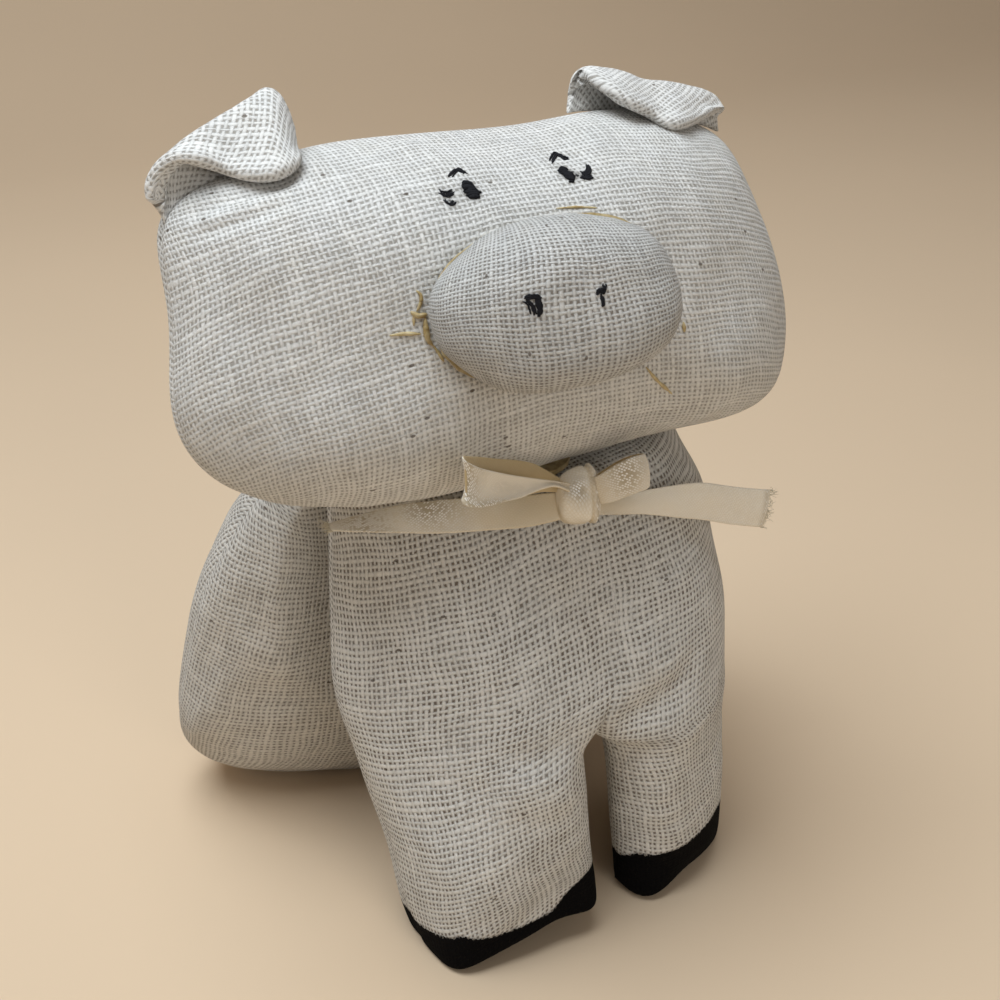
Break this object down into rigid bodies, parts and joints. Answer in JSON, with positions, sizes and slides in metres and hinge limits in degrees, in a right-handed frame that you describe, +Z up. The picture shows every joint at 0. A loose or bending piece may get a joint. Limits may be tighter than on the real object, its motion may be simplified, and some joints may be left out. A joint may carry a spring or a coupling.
{
  "type": "plush pig",
  "caption": "Small stuffed pig of undyed open-weave cotton, sitting up on its rump, with a wide block head, folded ears, glued nose, dark stitched face, black hooves and a satin bow.",
  "frame": {"origin": "on the surface that the pig sits on, under the middle of its bounding box", "axes": "+Z up, the pig looks along -Y, its right side is at -X"},
  "size_m": [0.0946, 0.0828, 0.1338],
  "materials": {
    "cloth": "open plain weave, matte, undyed",
    "filling": "loose polyester fibre, matte",
    "glue": "dried hot glue, yellow-brown, slightly glossy",
    "thread": "black stitched thread, matte",
    "paint": "cloth soaked in matte black paint",
    "satin": "champagne satin ribbon, glossy"
  },
  "bodies": {
    "body": {"neck_glue": "glue", "chest_front_panel": "cloth", "chest_back_panel": "cloth", "chest_filling": "filling", "leg_right_front_panel": "cloth", "leg_right_back_panel": "cloth", "leg_right_filling": "filling", "hoof_right": "paint", "bow_loop_right": "satin", "leg_left_front_panel": "cloth", "leg_left_back_panel": "cloth", "leg_left_filling": "filling", "hoof_left": "paint", "bow_loop_left": "satin", "rump_front_panel": "cloth", "rump_back_panel": "cloth", "rump_filling": "filling", "bow_knot": "satin"},
    "head": {"head_front_panel": "cloth", "head_back_panel": "cloth", "head_filling": "filling", "nose_cover": "cloth", "nose_filling": "filling", "nose_glue": "glue", "eye_right": "thread", "eye_left": "thread", "brow_right": "thread", "brow_left": "thread", "lash_right": "thread", "lash_left": "thread", "nostril_right": "thread", "nostril_left": "thread"},
    "ear_right": {"ear_right": "cloth"},
    "ear_left": {"ear_left": "cloth"},
    "tail_right": {"bow_tail_right": "satin"},
    "tail_left": {"bow_tail_left": "satin"}
  },
  "joints": [
    {"name": "head_turn", "type": "hinge", "parent": "body", "child": "head", "pos_m": [0.0023, -0.0134, 0.077], "axis": [0, 0, 1], "range_deg": [-5, 5], "stiffness_Nm_per_rad": 0.02},
    {"name": "ear_right_lift", "type": "hinge", "parent": "head", "child": "ear_right", "pos_m": [-0.03601, -0.0034, 0.12232], "axis": [-0.8898, -0.1269, -0.4384], "range_deg": [0, 20], "stiffness_Nm_per_rad": 0.002},
    {"name": "ear_left_lift", "type": "hinge", "parent": "head", "child": "ear_left", "pos_m": [0.02578, -0.00266, 0.12635], "axis": [-0.9918, 0.0446, 0.1199], "range_deg": [0, 20], "stiffness_Nm_per_rad": 0.002},
    {"name": "tail_right_swing", "type": "hinge", "parent": "body", "child": "tail_right", "pos_m": [0.0017, -0.02612, 0.07559], "axis": [0, 0, 1], "range_deg": [0, 15], "stiffness_Nm_per_rad": 0.001},
    {"name": "tail_left_swing", "type": "hinge", "parent": "body", "child": "tail_left", "pos_m": [0.0085, -0.02612, 0.07559], "axis": [0, 0, -1], "range_deg": [0, 15], "stiffness_Nm_per_rad": 0.001}
  ]
}
